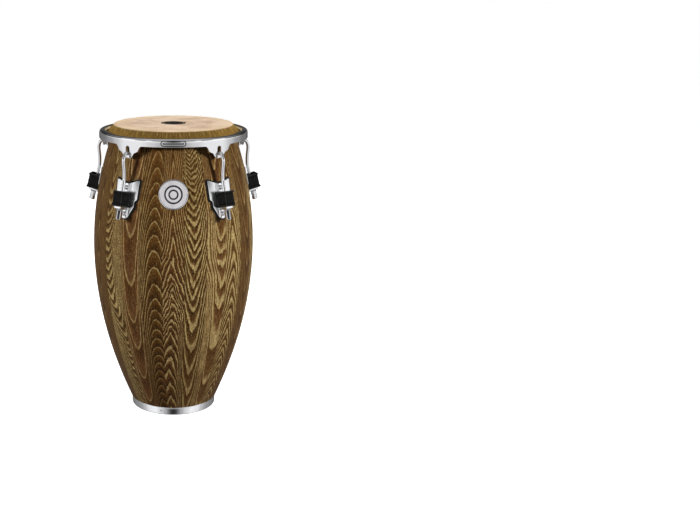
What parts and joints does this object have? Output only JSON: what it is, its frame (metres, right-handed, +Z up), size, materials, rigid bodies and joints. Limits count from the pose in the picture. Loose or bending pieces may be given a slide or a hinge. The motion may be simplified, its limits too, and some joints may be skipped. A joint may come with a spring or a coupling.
{
  "type": "quinto conga",
  "caption": "Tall barrel hand drum, staved wood shell open at the base, skin head held by a chrome rim with hooked rods, threaded nuts and padded lugs.",
  "frame": {"origin": "on the floor, at the middle of the outline's footprint; the five lugs make that outline deeper at the back, so the drum's own axis is at x 0, y -0.0145", "axes": "+Z up along the drum's axis; -Y is the front, where the badge is; +X is right in the front view"},
  "size_m": [0.4334, 0.4208, 0.711],
  "materials": {
    "stained_ash": "brown stain with golden filled grain under satin lacquer",
    "chrome": "polished chrome plate",
    "nail_steel": "plated, slightly dull",
    "plated_steel": "zinc plated, satin",
    "hide": "natural cattle hide, scraped, matt",
    "badge_metal": "brushed, clear coated",
    "gasket_rubber": "matt black",
    "pad_leather": "black grained sleeve"
  },
  "bodies": {
    "shell_body": {"shell": "stained_ash", "base_ring": "chrome", "ring_nail_1": "nail_steel", "ring_nail_2": "nail_steel", "ring_nail_3": "nail_steel", "ring_nail_4": "nail_steel", "badge": "badge_metal", "gasket_1": "gasket_rubber", "lug_plate_1": "chrome", "receiver_1": "chrome", "knee_pad_1": "pad_leather", "washer_1": "plated_steel", "upper_bolt_1": "chrome", "lower_bolt_1": "chrome", "nut_plate_1": "plated_steel", "gasket_2": "gasket_rubber", "lug_plate_2": "chrome", "receiver_2": "chrome", "knee_pad_2": "pad_leather", "washer_2": "plated_steel", "upper_bolt_2": "chrome", "lower_bolt_2": "chrome", "nut_plate_2": "plated_steel", "gasket_3": "gasket_rubber", "lug_plate_3": "chrome", "receiver_3": "chrome", "knee_pad_3": "pad_leather", "washer_3": "plated_steel", "upper_bolt_3": "chrome", "lower_bolt_3": "chrome", "nut_plate_3": "plated_steel", "gasket_4": "gasket_rubber", "lug_plate_4": "chrome", "receiver_4": "chrome", "knee_pad_4": "pad_leather", "washer_4": "plated_steel", "upper_bolt_4": "chrome", "lower_bolt_4": "chrome", "nut_plate_4": "plated_steel", "gasket_5": "gasket_rubber", "lug_plate_5": "chrome", "receiver_5": "chrome", "knee_pad_5": "pad_leather", "washer_5": "plated_steel", "upper_bolt_5": "chrome", "lower_bolt_5": "chrome", "nut_plate_5": "plated_steel"},
    "head_assembly": {"drumhead_skin": "hide", "flesh_hoop": "plated_steel", "rim": "chrome"},
    "rod_1": {"tension_rod_1": "chrome"},
    "nut_1": {"tuning_nut_1": "chrome"},
    "rod_2": {"tension_rod_2": "chrome"},
    "nut_2": {"tuning_nut_2": "chrome"},
    "rod_3": {"tension_rod_3": "chrome"},
    "nut_3": {"tuning_nut_3": "chrome"},
    "rod_4": {"tension_rod_4": "chrome"},
    "nut_4": {"tuning_nut_4": "chrome"},
    "rod_5": {"tension_rod_5": "chrome"},
    "nut_5": {"tuning_nut_5": "chrome"}
  },
  "joints": [
    {"name": "rim_lift", "type": "slide", "parent": "shell_body", "child": "head_assembly", "axis": [0, 0, 1], "range_m": [0, 0.01]},
    {"name": "rod_slide_1", "type": "slide", "parent": "shell_body", "child": "rod_1", "axis": [-0.1472, 0.2026, 0.9681], "range_m": [0, 0.0104]},
    {"name": "rod_slide_2", "type": "slide", "parent": "shell_body", "child": "rod_2", "axis": [-0.2381, -0.0774, 0.9681], "range_m": [0, 0.0104]},
    {"name": "rod_slide_3", "type": "slide", "parent": "shell_body", "child": "rod_3", "axis": [0, -0.2504, 0.9681], "range_m": [0, 0.0104]},
    {"name": "rod_slide_4", "type": "slide", "parent": "shell_body", "child": "rod_4", "axis": [0.2381, -0.0774, 0.9681], "range_m": [0, 0.0104]},
    {"name": "rod_slide_5", "type": "slide", "parent": "shell_body", "child": "rod_5", "axis": [0.1472, 0.2026, 0.9681], "range_m": [0, 0.0104]},
    {"name": "nut_turn_1", "type": "hinge", "parent": "shell_body", "child": "nut_1", "pos_m": [0.11985, -0.17945, 0.556], "axis": [0.1472, -0.2026, -0.9681], "range_deg": [0, 2976]},
    {"name": "nut_turn_2", "type": "hinge", "parent": "shell_body", "child": "nut_2", "pos_m": [0.19392, 0.04852, 0.556], "axis": [0.2381, 0.0774, -0.9681], "range_deg": [0, 2976]},
    {"name": "nut_turn_3", "type": "hinge", "parent": "shell_body", "child": "nut_3", "pos_m": [0, 0.18941, 0.556], "axis": [0, 0.2504, -0.9681], "range_deg": [0, 2976]},
    {"name": "nut_turn_4", "type": "hinge", "parent": "shell_body", "child": "nut_4", "pos_m": [-0.19392, 0.04852, 0.556], "axis": [-0.2381, 0.0774, -0.9681], "range_deg": [0, 2976]},
    {"name": "nut_turn_5", "type": "hinge", "parent": "shell_body", "child": "nut_5", "pos_m": [-0.11985, -0.17945, 0.556], "axis": [-0.1472, -0.2026, -0.9681], "range_deg": [0, 2976]}
  ],
  "couplings": [
    {"joint": "rod_slide_1", "follows": "rim_lift", "ratio": 1.0329},
    {"joint": "rod_slide_2", "follows": "rim_lift", "ratio": 1.0329},
    {"joint": "rod_slide_3", "follows": "rim_lift", "ratio": 1.0329},
    {"joint": "rod_slide_4", "follows": "rim_lift", "ratio": 1.0329},
    {"joint": "rod_slide_5", "follows": "rim_lift", "ratio": 1.0329},
    {"joint": "nut_turn_1", "follows": "rim_lift", "rad_per_m": 5191.9},
    {"joint": "nut_turn_2", "follows": "rim_lift", "rad_per_m": 5191.9},
    {"joint": "nut_turn_3", "follows": "rim_lift", "rad_per_m": 5191.9},
    {"joint": "nut_turn_4", "follows": "rim_lift", "rad_per_m": 5191.9},
    {"joint": "nut_turn_5", "follows": "rim_lift", "rad_per_m": 5191.9}
  ]
}
